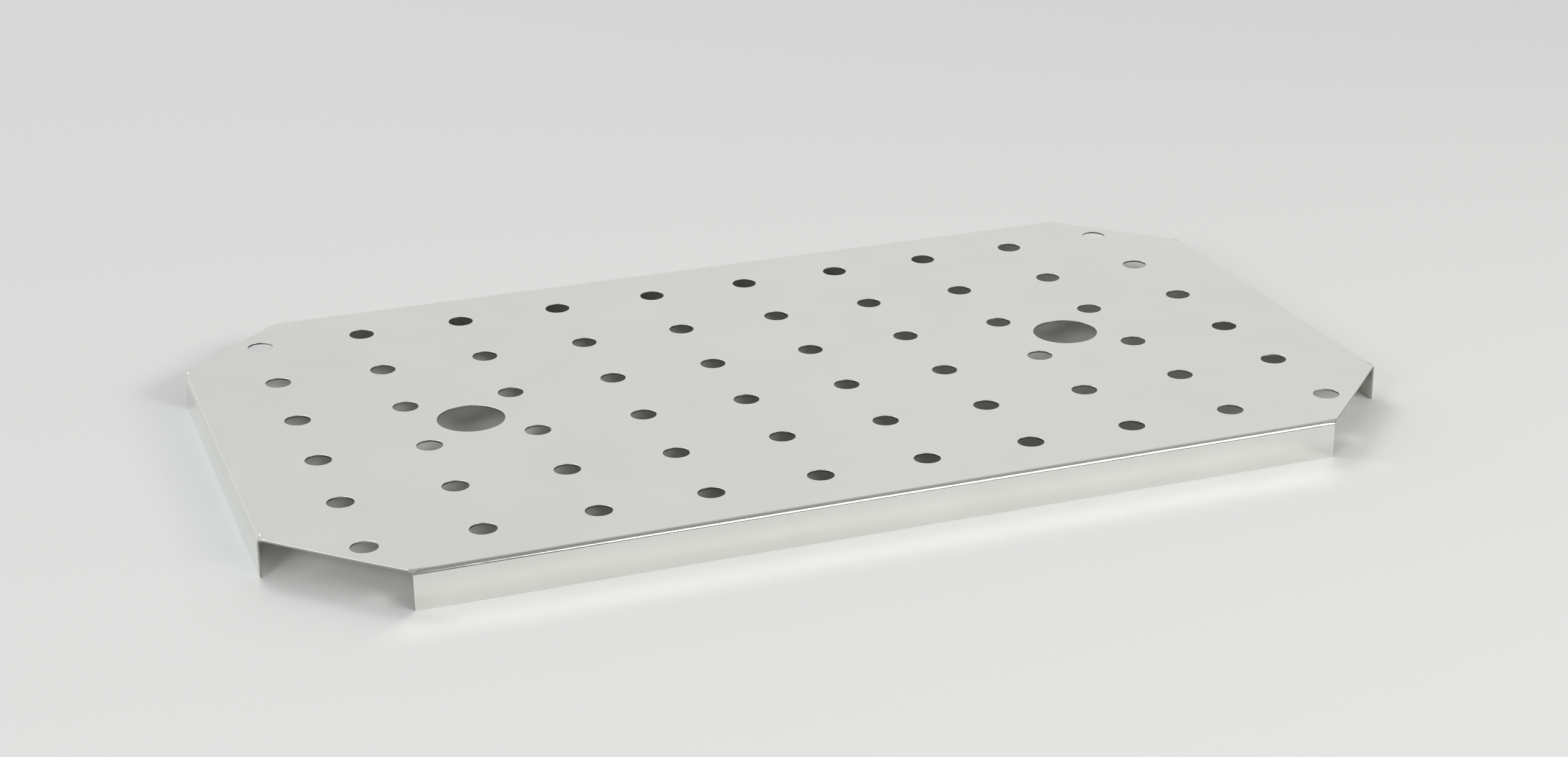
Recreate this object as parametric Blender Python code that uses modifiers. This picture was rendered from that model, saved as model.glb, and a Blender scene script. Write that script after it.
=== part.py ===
"""Perforated drainer plate: a false bottom that stands food clear of its drippings in a catering pan.

The whole object is one folded sheet. A flat blank of stainless steel is punched with drain holes and
two finger holes, its corners are cropped, and its four sides are folded down as flanges to stand on.
The deck between the folds has sunk a little, as a thin punched sheet does.

Origin at the middle of the plate on the surface it stands on, +X along its length, +Z up.
"""

import math

import bmesh
import bpy
import numpy as np
from mathutils import Matrix, Vector

MM = 0.001

# Driving dimensions
LENGTH = 477 * MM  # over the two end flanges
WIDTH = 271.5 * MM  # over the two side flanges
HEIGHT = 16 * MM  # from the flanges' lower edges to the top of the deck at its rim
SHEET = 0.8 * MM
BEND_RADIUS = 2.2 * MM  # outside of the fold
CORNER_CROP = 47.9 * MM  # each leg of a 45 degree corner

COLUMNS, ROWS = 10, 6
PITCH_X = 45 * MM
PITCH_Y = 43.4 * MM
DRAIN_DIAMETER = 10.7 * MM
FINGER_DIAMETER = 28 * MM
FINGER_COLUMNS_OUT = 3  # pitches from the middle of the plate to each finger hole

SAG = 2.2 * MM  # how far the middle of the deck lies below its rim
SAG_POWER_X = 4  # the higher, the flatter the middle of the dish along that axis
SAG_POWER_Y = 2

# Mesh fineness
BEND_STEPS = 6
DRAIN_SIDES = 20
FINGER_SIDES = 40

# Worked out from the above
DECK_X = LENGTH / 2 - BEND_RADIUS  # half the flat deck, out to where the folds begin
DECK_Y = WIDTH / 2 - BEND_RADIUS
FLANGE_DROP = HEIGHT - BEND_RADIUS  # straight part of a flange, below the fold
HALF_SIDE_FLANGE = LENGTH / 2 - CORNER_CROP  # half the length of the flange along each side
HALF_END_FLANGE = WIDTH / 2 - CORNER_CROP
ON_PLANE = 1e-6


def clear_scene():
    for obj in list(bpy.data.objects):
        bpy.data.objects.remove(obj)
    for collection in list(bpy.data.collections):
        bpy.data.collections.remove(collection)


def new_collection(name):
    collection = bpy.data.collections.new(name)
    bpy.context.scene.collection.children.link(collection)
    return collection


def add_object(name, bm, collection):
    mesh = bpy.data.meshes.new(name)
    bm.to_mesh(mesh)
    bm.free()
    obj = bpy.data.objects.new(name, mesh)
    collection.objects.link(obj)
    return obj


def split(bm, point, normal, clear_outer=False):
    geometry = bm.verts[:] + bm.edges[:] + bm.faces[:]
    bmesh.ops.bisect_plane(
        bm, geom=geometry, plane_co=point, plane_no=normal, clear_outer=clear_outer, dist=ON_PLANE
    )


def flat_deck(bm):
    """The deck's top surface: a rectangle, divided midway between the holes, with its corners cropped."""
    to_size = Matrix.Translation((0, 0, HEIGHT)) @ Matrix.Diagonal((DECK_X, DECK_Y, 1, 1))
    bmesh.ops.create_grid(bm, x_segments=1, y_segments=1, size=1, matrix=to_size)
    for column in range(COLUMNS + 1):
        split(bm, ((column - COLUMNS / 2) * PITCH_X, 0, 0), (1, 0, 0))
    for row in range(ROWS + 1):
        split(bm, (0, (row - ROWS / 2) * PITCH_Y, 0), (0, 1, 0))
    for x_sign in (-1, 1):
        for y_sign in (-1, 1):
            on_crop = (x_sign * LENGTH / 2, y_sign * (WIDTH / 2 - CORNER_CROP), 0)
            split(bm, on_crop, (x_sign, y_sign, 0), clear_outer=True)


def fold_side(bm, outward):
    """Bends a flange down from the deck's edge on the side that outward points to.

    The corner crop runs on at 45 degrees into the fold, as far as the flange's square end.
    """
    sideways = Vector((0, 0, 1)).cross(outward)
    reach, half_flange = (DECK_X, HALF_END_FLANGE) if outward.x else (DECK_Y, HALF_SIDE_FLANGE)
    centre = outward * reach + Vector((0, 0, HEIGHT - BEND_RADIUS))
    edges = [e for e in bm.edges if all(abs(v.co.dot(outward) - reach) < ON_PLANE for v in e.verts)]
    bent = bmesh.ops.spin(
        bm, geom=edges, cent=centre, axis=sideways, angle=math.pi / 2, steps=BEND_STEPS
    )
    for vert in bm.verts:
        past_deck = vert.co.dot(outward) - reach
        along = vert.co.dot(sideways)
        if past_deck > ON_PLANE and abs(along) > half_flange:
            round_fold = BEND_RADIUS * math.atan2(past_deck, vert.co.z - centre.z)
            end = half_flange + max(BEND_RADIUS - round_fold, 0)
            vert.co += sideways * (math.copysign(end, along) - along)
    foot = [item for item in bent["geom_last"] if isinstance(item, bmesh.types.BMEdge)]
    dropped = bmesh.ops.extrude_edge_only(bm, edges=foot)
    verts = [item for item in dropped["geom"] if isinstance(item, bmesh.types.BMVert)]
    bmesh.ops.translate(bm, verts=verts, vec=(0, 0, -FLANGE_DROP))


def folded_sheet(collection):
    """The sheet's outer surface, thickened inwards. It isn't punched yet."""
    bm = bmesh.new()
    flat_deck(bm)
    for outward in (Vector((1, 0, 0)), Vector((-1, 0, 0)), Vector((0, 1, 0)), Vector((0, -1, 0))):
        fold_side(bm, outward)
    bmesh.ops.recalc_face_normals(bm, faces=bm.faces)
    highest = max(bm.faces, key=lambda face: face.calc_center_median().z)
    if highest.normal.z < 0:
        bmesh.ops.reverse_faces(bm, faces=bm.faces)
    sheet = add_object("drainer_plate", bm, collection)
    thicken = sheet.modifiers.new("thicken", "SOLIDIFY")
    thicken.thickness = SHEET
    thicken.offset = -1
    thicken.use_even_offset = True
    return sheet


def punches(collection):
    """One cylinder through the deck for each hole, all in one cutter."""
    bm = bmesh.new()
    drains = [
        ((column - (COLUMNS - 1) / 2) * PITCH_X, (row - (ROWS - 1) / 2) * PITCH_Y)
        for column in range(COLUMNS)
        for row in range(ROWS)
    ]
    fingers = [(side * FINGER_COLUMNS_OUT * PITCH_X, 0) for side in (-1, 1)]
    holes = [(place, DRAIN_DIAMETER, DRAIN_SIDES) for place in drains]
    holes += [(place, FINGER_DIAMETER, FINGER_SIDES) for place in fingers]
    for (x, y), diameter, sides in holes:
        bmesh.ops.create_cone(
            bm,
            cap_ends=True,
            segments=sides,
            radius1=diameter / 2,
            radius2=diameter / 2,
            depth=6 * SHEET,
            matrix=Matrix.Translation((x, y, HEIGHT - SHEET / 2)),
        )
    cutter = add_object("punches", bm, collection)
    cutter.display_type = "WIRE"
    cutter.hide_render = True
    return cutter


def apply_modifiers(obj):
    graph = bpy.context.evaluated_depsgraph_get()
    mesh = bpy.data.meshes.new_from_object(obj.evaluated_get(graph))
    obj.modifiers.clear()
    obj.data = mesh


def sag_at(x, y):
    """How far the deck has sunk at a point: nothing along the folds, and most in the middle."""
    across = np.clip(np.abs(x) / DECK_X, 0, 1)
    along = np.clip(np.abs(y) / DECK_Y, 0, 1)
    return SAG * (1 - across**SAG_POWER_X) * (1 - along**SAG_POWER_Y)


def sink_deck(obj):
    """Moves the deck down by the sag, top and underside alike, so that the sheet keeps its thickness."""
    points = np.empty(len(obj.data.vertices) * 3)
    obj.data.vertices.foreach_get("co", points)
    points = points.reshape(-1, 3)
    in_deck = points[:, 2] > HEIGHT - 2 * SHEET
    points[in_deck, 2] -= sag_at(points[in_deck, 0], points[in_deck, 1])
    obj.data.vertices.foreach_set("co", points.ravel())
    obj.data.update()


def triangulate(obj):
    bm = bmesh.new()
    bm.from_mesh(obj.data)
    bmesh.ops.triangulate(bm, faces=bm.faces, quad_method="BEAUTY", ngon_method="BEAUTY")
    bm.to_mesh(obj.data)
    bm.free()


def stainless_steel():
    material = bpy.data.materials.new("stainless_steel")
    material.use_nodes = True
    shader = material.node_tree.nodes["Principled BSDF"]
    shader.inputs["Base Color"].default_value = (0.66, 0.66, 0.64, 1)
    shader.inputs["Metallic"].default_value = 1
    shader.inputs["Roughness"].default_value = 0.22
    return material


def main():
    clear_scene()
    plate_parts = new_collection("drainer_plate")
    cutters = new_collection("cutters")
    plate = folded_sheet(plate_parts)
    cut = plate.modifiers.new("punch", "BOOLEAN")
    cut.operation = "DIFFERENCE"
    cut.solver = "EXACT"
    cut.object = punches(cutters)
    apply_modifiers(plate)
    triangulate(plate)
    sink_deck(plate)
    plate.data.materials.clear()
    plate.data.materials.append(stainless_steel())
    plate.data.shade_smooth()
    plate.data.set_sharp_from_angle(angle=math.radians(30))


main()
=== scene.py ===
"""The looks of the perforated drainer plate: the same folded sheet as the CAD part, with fine holes,
smooth folds and softened cut edges, in mill-finished stainless steel on a pale studio floor.

The sheet is made the way the real one is: a flat blank is laid out and punched, then folded.
A point of the blank is (u, v), measured along the sheet's outer face from the middle of the deck.
"""

import math

import bmesh
import bpy
import numpy as np
from mathutils import Matrix, Vector
from mathutils.geometry import delaunay_2d_cdt


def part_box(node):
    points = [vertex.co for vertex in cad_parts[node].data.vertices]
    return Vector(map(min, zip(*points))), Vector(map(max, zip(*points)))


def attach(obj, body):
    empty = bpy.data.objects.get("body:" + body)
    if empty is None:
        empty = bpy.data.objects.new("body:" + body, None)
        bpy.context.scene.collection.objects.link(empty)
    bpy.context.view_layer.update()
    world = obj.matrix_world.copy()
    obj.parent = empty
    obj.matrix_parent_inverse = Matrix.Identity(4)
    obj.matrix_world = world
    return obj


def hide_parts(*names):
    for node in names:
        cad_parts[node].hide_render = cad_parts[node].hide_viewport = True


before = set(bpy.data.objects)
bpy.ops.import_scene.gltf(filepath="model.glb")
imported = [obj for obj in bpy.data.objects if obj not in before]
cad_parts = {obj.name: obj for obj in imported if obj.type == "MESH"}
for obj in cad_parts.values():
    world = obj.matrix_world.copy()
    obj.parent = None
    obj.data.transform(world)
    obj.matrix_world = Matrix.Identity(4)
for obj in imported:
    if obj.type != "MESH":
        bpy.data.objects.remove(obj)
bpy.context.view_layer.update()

MM = 0.001
NODE = "drainer_plate"

# Sizes that the frame gives
high_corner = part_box(NODE)[1]
HALF_LENGTH, HALF_WIDTH, HEIGHT = high_corner.x, high_corner.y, high_corner.z

# Sizes that follow the CAD part
SHEET = 0.8 * MM
BEND_RADIUS = 2.2 * MM  # outside of the fold
CORNER_CROP = 47.9 * MM  # each leg of a 45 degree corner
COLUMNS, ROWS = 10, 6
PITCH_X, PITCH_Y = 45 * MM, 43.4 * MM
DRAIN_RADIUS = 10.7 / 2 * MM
FINGER_RADIUS = 28 / 2 * MM
FINGER_COLUMNS_OUT = 3  # pitches from the middle of the plate to each finger hole
SAG = 2.2 * MM  # how far the middle of the deck lies below its rim
SAG_POWER_X, SAG_POWER_Y = 4, 2

# Worked out from them
DECK_X, DECK_Y = HALF_LENGTH - BEND_RADIUS, HALF_WIDTH - BEND_RADIUS
FLANGE_DROP = HEIGHT - BEND_RADIUS
FOLD_ARC = BEND_RADIUS * math.pi / 2
BLANK_X, BLANK_Y = DECK_X + FOLD_ARC + FLANGE_DROP, DECK_Y + FOLD_ARC + FLANGE_DROP
HALF_SIDE_FLANGE, HALF_END_FLANGE = HALF_LENGTH - CORNER_CROP, HALF_WIDTH - CORNER_CROP

# Fineness of the mesh
GRID = 4.5 * MM
FOLD_ROWS = 12
FLANGE_ROWS = 4
DRAIN_SIDES, FINGER_SIDES = 64, 128
RINGS = (0.4 * MM, 1.0 * MM, 2.0 * MM)  # rows of points around each hole, out from its edge
CLEAR_OF_HOLE = 3.2 * MM  # how near to a hole's edge a point of the grid may come
CLEAR_OF_OUTLINE = 0.3 * MM
SHORTEST_EDGE = 0.2 * MM  # between two points of the outline; it has to be more than EDGE_SOFTENING
EDGE_SOFTENING = 0.12 * MM
SOFTENED_ANGLE = math.radians(50)  # edges sharper than this are softened, and the folds aren't
NEGLIGIBLE = 1e-9


# ---------------------------------------------------------------- the blank and its folds


def holes():
    """(u, v, radius, sides) of each punched hole."""
    for column in range(COLUMNS):
        for row in range(ROWS):
            u, v = (column - (COLUMNS - 1) / 2) * PITCH_X, (row - (ROWS - 1) / 2) * PITCH_Y
            yield u, v, DRAIN_RADIUS, DRAIN_SIDES
    for side in (-1, 1):
        yield side * FINGER_COLUMNS_OUT * PITCH_X, 0, FINGER_RADIUS, FINGER_SIDES


def circle(u, v, radius, sides):
    """Points around a circle of the blank, anticlockwise."""
    turn = np.arange(sides) * 2 * math.pi / sides
    return np.column_stack((u + radius * np.cos(turn), v + radius * np.sin(turn)))


def stations(half, near_end=()):
    """Evenly spaced places from -half to half, about GRID apart, with extra ones near both ends.

    They are rounded to a millionth of a millimetre, so that equal ones merge.
    """
    count = 2 * round(half / GRID)
    extra = [sign * (half - step) for sign in (-1, 1) for step in near_end]
    return np.unique(np.round(np.concatenate((np.linspace(-half, half, count + 1), extra)), 9))


def across_sheet(deck_half):
    """Places on the line from one flange's foot, over the deck, to the opposite flange's foot."""
    bend = deck_half + np.linspace(0, FOLD_ARC, FOLD_ROWS + 1)
    flange = deck_half + FOLD_ARC + np.linspace(0, FLANGE_DROP, FLANGE_ROWS + 1)
    outer = np.concatenate((bend, flange[1:]))
    return np.concatenate((-outer[::-1], stations(deck_half, RINGS)[1:-1], outer))


def inside_blank(points, margin):
    """Which points lie in the blank, at least margin in from its edge."""
    u, v = np.abs(points[:, 0]), np.abs(points[:, 1])
    cropped = u + v <= HALF_LENGTH + HALF_WIDTH - CORNER_CROP - margin * math.sqrt(2)
    end_flange = (u <= BLANK_X - margin) & (v <= HALF_END_FLANGE - margin)
    side_flange = (u <= HALF_SIDE_FLANGE - margin) & (v <= BLANK_Y - margin)
    deck = (u <= HALF_LENGTH) & (v <= HALF_WIDTH)
    return (deck & cropped) | end_flange | side_flange


def outline():
    """The blank's edge, divided so finely that its folds bend smoothly."""
    corners = [
        Vector((BLANK_X, HALF_END_FLANGE)),
        Vector((HALF_LENGTH, HALF_END_FLANGE)),
        Vector((HALF_SIDE_FLANGE, HALF_WIDTH)),
        Vector((HALF_SIDE_FLANGE, BLANK_Y)),
    ]
    corners += [Vector((-point.x, point.y)) for point in reversed(corners)]
    corners += [Vector((point.x, -point.y)) for point in reversed(corners)]
    rows_u, rows_v = across_sheet(DECK_X), across_sheet(DECK_Y)
    edge = []
    for start, end in zip(corners, corners[1:] + corners[:1]):
        run = end - start
        cuts = [0.0]  # parts of the way along, one wherever the edge crosses a row of the grid
        for axis, rows in ((0, rows_u), (1, rows_v)):
            if abs(run[axis]) > NEGLIGIBLE:
                cuts += [(row - start[axis]) / run[axis] for row in rows]
        shortest = SHORTEST_EDGE / run.length
        kept = [0.0]
        for cut in sorted(cuts):
            if kept[-1] + shortest < cut < 1 - shortest:
                kept.append(cut)
        edge += [tuple(start + run * cut) for cut in kept]
    return np.array(edge)


def fold(points):
    """Where points of the blank's outer face go when the four flanges are folded down and the deck sinks."""
    placed = []
    drop = np.zeros(len(points))
    for axis, deck_half in ((0, DECK_X), (1, DECK_Y)):
        flat = points[:, axis]
        past = np.maximum(np.abs(flat) - deck_half, 0)
        turn = np.minimum(past, FOLD_ARC) / BEND_RADIUS
        out = np.minimum(np.abs(flat), deck_half) + BEND_RADIUS * np.sin(turn)
        drop += BEND_RADIUS * (1 - np.cos(turn)) + np.maximum(past - FOLD_ARC, 0)
        placed.append(np.sign(flat) * out)
    x, y = placed
    long_way = np.clip(np.abs(x) / DECK_X, 0, 1)
    short_way = np.clip(np.abs(y) / DECK_Y, 0, 1)
    sag = SAG * (1 - long_way**SAG_POWER_X) * (1 - short_way**SAG_POWER_Y)
    return np.column_stack((x, y, HEIGHT - drop - sag))


def blank_points():
    """Every point of the blank, and the range of point numbers of each loop: the outline, then the holes."""
    grid_u, grid_v = np.meshgrid(across_sheet(DECK_X), across_sheet(DECK_Y))
    grid = np.column_stack((grid_u.ravel(), grid_v.ravel()))
    grid = grid[inside_blank(grid, CLEAR_OF_OUTLINE)]
    groups, loops, count = [], [], 0
    for loop in [outline()] + [circle(*hole) for hole in holes()]:
        groups.append(loop)
        loops.append((count, count + len(loop)))
        count += len(loop)
    for u, v, radius, sides in holes():
        grid = grid[np.hypot(grid[:, 0] - u, grid[:, 1] - v) > radius + CLEAR_OF_HOLE]
        for number, step in enumerate(RINGS):
            ring_sides = sides // 2 if number else sides
            groups.append(circle(u, v, radius + step, ring_sides))
    return np.concatenate(groups + [grid]), loops


def blank_triangles(points, loops):
    """Joins the points in triangles, and leaves out the ones that fill a hole.

    A triangle fills a hole if all its points are on one loop other than the outline, which is loop 0.
    """
    edges = []
    loop_of = np.full(len(points), -1)
    for number, (first, last) in enumerate(loops):
        edges += [(i, i + 1 if i + 1 < last else first) for i in range(first, last)]
        loop_of[first:last] = number
    inside_outline = 1
    made = delaunay_2d_cdt([Vector(p) for p in points], edges, [], inside_outline, NEGLIGIBLE)
    made_points, _, made_faces, sources, _, _ = made
    source = np.array([ids[0] if ids else -1 for ids in sources])
    made_loop_of = np.where(source >= 0, loop_of[source], -1)
    triangles = []
    for face in made_faces:
        on_loops = made_loop_of[list(face)]
        fills_hole = on_loops[0] > 0 and (on_loops == on_loops[0]).all()
        if not fills_hole:
            triangles.append(face)
    return np.array([tuple(p) for p in made_points]), triangles


def folded_plate():
    """The outer face of the folded sheet, thickened inwards, with its cut edges softened."""
    points, loops = blank_points()
    flat, triangles = blank_triangles(points, loops)
    mesh = bpy.data.meshes.new("drainer_plate_steel")
    mesh.from_pydata(fold(flat).tolist(), [], [list(face) for face in triangles])
    bm = bmesh.new()
    bm.from_mesh(mesh)
    bmesh.ops.recalc_face_normals(bm, faces=bm.faces)
    if max(bm.faces, key=lambda face: face.calc_center_median().z).normal.z < 0:
        bmesh.ops.reverse_faces(bm, faces=bm.faces)
    bm.to_mesh(mesh)
    bm.free()
    mesh.shade_smooth()
    plate = bpy.data.objects.new("drainer_plate_steel", mesh)
    bpy.context.scene.collection.objects.link(plate)
    thicken = plate.modifiers.new("thicken", "SOLIDIFY")
    thicken.thickness = SHEET
    thicken.offset = -1
    thicken.use_even_offset = True
    thicken.material_offset_rim = 1  # the cut edges take the second material
    soften = plate.modifiers.new("soften cut edges", "BEVEL")
    soften.width = EDGE_SOFTENING
    soften.segments = 2
    soften.limit_method = "ANGLE"
    soften.angle_limit = SOFTENED_ANGLE
    soften.use_clamp_overlap = False
    weight = plate.modifiers.new("weight normals", "WEIGHTED_NORMAL")
    weight.keep_sharp = False
    weight.weight = 50
    return plate


# ---------------------------------------------------------------- materials


def new_material(name):
    material = bpy.data.materials.new(name)
    material.use_nodes = True
    nodes, links = material.node_tree.nodes, material.node_tree.links
    return material, nodes, links, nodes["Principled BSDF"]


def noise(nodes, links, scale, detail, stretch=(1, 1, 1)):
    """A noise texture in the object's own metres."""
    place = nodes.new("ShaderNodeTexCoord")
    mapping = nodes.new("ShaderNodeMapping")
    mapping.inputs["Scale"].default_value = stretch
    texture = nodes.new("ShaderNodeTexNoise")
    texture.inputs["Scale"].default_value = scale
    texture.inputs["Detail"].default_value = detail
    links.new(place.outputs["Object"], mapping.inputs["Vector"])
    links.new(mapping.outputs["Vector"], texture.inputs["Vector"])
    return texture.outputs["Fac"]


def spread(nodes, links, value, low_end, high_end):
    """Maps the noise's usual range, 0.3 to 0.7, onto another range of numbers."""
    ranged = nodes.new("ShaderNodeMapRange")
    ranged.inputs["From Min"].default_value = 0.3
    ranged.inputs["From Max"].default_value = 0.7
    ranged.inputs["To Min"].default_value = low_end
    ranged.inputs["To Max"].default_value = high_end
    links.new(value, ranged.inputs["Value"])
    return ranged.outputs["Result"]


def mill_finish_steel():
    """Cold-rolled stainless: lightly mirrored, with a fine grain and faint cloudy marks from handling."""
    material, nodes, links, shader = new_material("mill_finish_steel")
    shader.inputs["Metallic"].default_value = 1
    tint = nodes.new("ShaderNodeMix")
    tint.data_type = "RGBA"
    tint.inputs["A"].default_value = (0.80, 0.80, 0.765, 1)
    tint.inputs["B"].default_value = (0.83, 0.83, 0.80, 1)
    clouds = noise(nodes, links, 28, 4)
    links.new(spread(nodes, links, clouds, 0, 1), tint.inputs["Factor"])
    links.new(tint.outputs["Result"], shader.inputs["Base Color"])
    grain = noise(nodes, links, 420, 3, stretch=(0.35, 1, 1))
    links.new(spread(nodes, links, grain, 0.12, 0.19), shader.inputs["Roughness"])
    bump = nodes.new("ShaderNodeBump")
    bump.inputs["Strength"].default_value = 0.25
    bump.inputs["Distance"].default_value = 0.02 * MM
    links.new(noise(nodes, links, 1500, 2), bump.inputs["Height"])
    links.new(bump.outputs["Normal"], shader.inputs["Normal"])
    return material


def sheared_edge():
    """The cut edges of the same sheet, a little rougher, with fine marks across the thickness."""
    material, nodes, links, shader = new_material("sheared_edge")
    shader.inputs["Metallic"].default_value = 1
    shader.inputs["Base Color"].default_value = (0.42, 0.42, 0.41, 1)
    marks = noise(nodes, links, 1800, 2, stretch=(1, 1, 0.15))
    links.new(spread(nodes, links, marks, 0.28, 0.42), shader.inputs["Roughness"])
    bump = nodes.new("ShaderNodeBump")
    bump.inputs["Strength"].default_value = 0.4
    bump.inputs["Distance"].default_value = 0.03 * MM
    links.new(marks, bump.inputs["Height"])
    links.new(bump.outputs["Normal"], shader.inputs["Normal"])
    return material


def floor_paper():
    """Pale, matt studio paper."""
    material, nodes, links, shader = new_material("studio_floor")
    shader.inputs["Base Color"].default_value = (0.82, 0.82, 0.80, 1)
    shader.inputs["Roughness"].default_value = 0.75
    shader.inputs["Specular IOR Level"].default_value = 0.15
    return material


# ---------------------------------------------------------------- stage, light and camera

FLOOR_RADIUS = 9  # metres
WALLS = {  # the direction of each wall or the ceiling, and its colour
    (0, 1, 0): (0.655, 0.665, 0.655),
    (0, -1, 0): (0.09, 0.09, 0.09),
    (1, 0, 0): (0.35, 0.35, 0.34),
    (-1, 0, 0): (0.34, 0.38, 0.43),
    (0, 0, 1): (0.23, 0.23, 0.23),
}
CAMERA_AZIMUTH = 20.03  # degrees from straight in front; the camera stands to the left of the plate
CAMERA_ELEVATION = 22.03  # degrees
CAMERA_ROLL = -0.56  # degrees
CAMERA_DISTANCE = 1.1597  # metres
CAMERA_LENS, CAMERA_SENSOR = 61.74, 36  # millimetres
AIM = Vector((0.0050, 0.0077, HEIGHT / 2))


def studio_floor():
    bm = bmesh.new()
    bmesh.ops.create_circle(bm, cap_ends=True, segments=96, radius=FLOOR_RADIUS)
    mesh = bpy.data.meshes.new("studio_floor")
    bm.to_mesh(mesh)
    bm.free()
    floor = bpy.data.objects.new("studio_floor", mesh)
    bpy.context.scene.collection.objects.link(floor)
    floor.data.materials.append(floor_paper())


def studio_world():
    """A soft room: palest behind the plate, dimmer overhead and to the sides, and dark behind the camera.

    Each wall adds its colour to a direction, in proportion to the cosine between them.
    """
    world = bpy.data.worlds.new("studio")
    bpy.context.scene.world = world
    world.use_nodes = True
    nodes, links = world.node_tree.nodes, world.node_tree.links
    place = nodes.new("ShaderNodeTexCoord")
    total = None
    for wall, colour in WALLS.items():
        towards = nodes.new("ShaderNodeVectorMath")
        towards.operation = "DOT_PRODUCT"
        towards.inputs[1].default_value = wall
        links.new(place.outputs["Generated"], towards.inputs[0])
        only_ahead = nodes.new("ShaderNodeMath")
        only_ahead.operation = "MAXIMUM"
        only_ahead.inputs[1].default_value = 0
        links.new(towards.outputs["Value"], only_ahead.inputs[0])
        tinted = nodes.new("ShaderNodeVectorMath")
        tinted.operation = "MULTIPLY_ADD"
        tinted.inputs[1].default_value = colour
        links.new(only_ahead.outputs["Value"], tinted.inputs[0])
        if total:
            links.new(total, tinted.inputs[2])
        total = tinted.outputs["Vector"]
    links.new(total, nodes["Background"].inputs["Color"])


def softbox(name, azimuth, elevation, distance, width, height, radiance, colour=(1, 1, 1)):
    """A rectangular light that faces the plate. Angles are in degrees, and sizes in metres.

    The azimuth is measured from straight in front of the plate towards +X.
    """
    light = bpy.data.lights.new(name, "AREA")
    light.shape = "RECTANGLE"
    light.size, light.size_y = width, height
    light.energy = radiance * math.pi * width * height
    light.color = colour
    box = bpy.data.objects.new(name, light)
    bpy.context.scene.collection.objects.link(box)
    turn, rise = math.radians(azimuth), math.radians(elevation)
    away = Vector((math.sin(turn) * math.cos(rise), -math.cos(turn) * math.cos(rise), math.sin(rise)))
    box.location = away * distance
    box.rotation_euler = away.to_track_quat("Z", "Y").to_euler()


def studio_lights():
    """A wide, low key light from each side of the front, and a weaker one high behind the plate."""
    softbox("key_right", 33, 27, 2.4, 1.56, 0.6, 9.0, (1, 0.99, 0.98))
    softbox("key_left", -48, 26, 2.5, 0.8, 0.8, 7.4, (0.98, 1, 1))
    softbox("back_left", 195, 50, 2.5, 0.9, 0.9, 4.4)


def studio_camera():
    camera = bpy.data.cameras.new("camera")
    camera.sensor_width = CAMERA_SENSOR
    camera.lens = CAMERA_LENS
    holder = bpy.data.objects.new("camera", camera)
    bpy.context.scene.collection.objects.link(holder)
    turned = (
        Matrix.Rotation(math.radians(-CAMERA_AZIMUTH), 4, "Z")
        @ Matrix.Rotation(math.radians(90 - CAMERA_ELEVATION), 4, "X")
        @ Matrix.Rotation(math.radians(CAMERA_ROLL), 4, "Z")
    )
    holder.matrix_world = Matrix.Translation(AIM) @ turned @ Matrix.Translation((0, 0, CAMERA_DISTANCE))
    bpy.context.scene.camera = holder


def main():
    studio_camera()
    plate = folded_plate()
    plate.data.materials.append(mill_finish_steel())
    plate.data.materials.append(sheared_edge())
    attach(plate, "root")
    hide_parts(NODE)
    studio_floor()
    studio_world()
    studio_lights()
    bpy.context.scene.view_settings.view_transform = "Standard"
    bpy.context.scene.cycles.blur_glossy = 0  # keeps the light that the flanges throw on the floor


main()
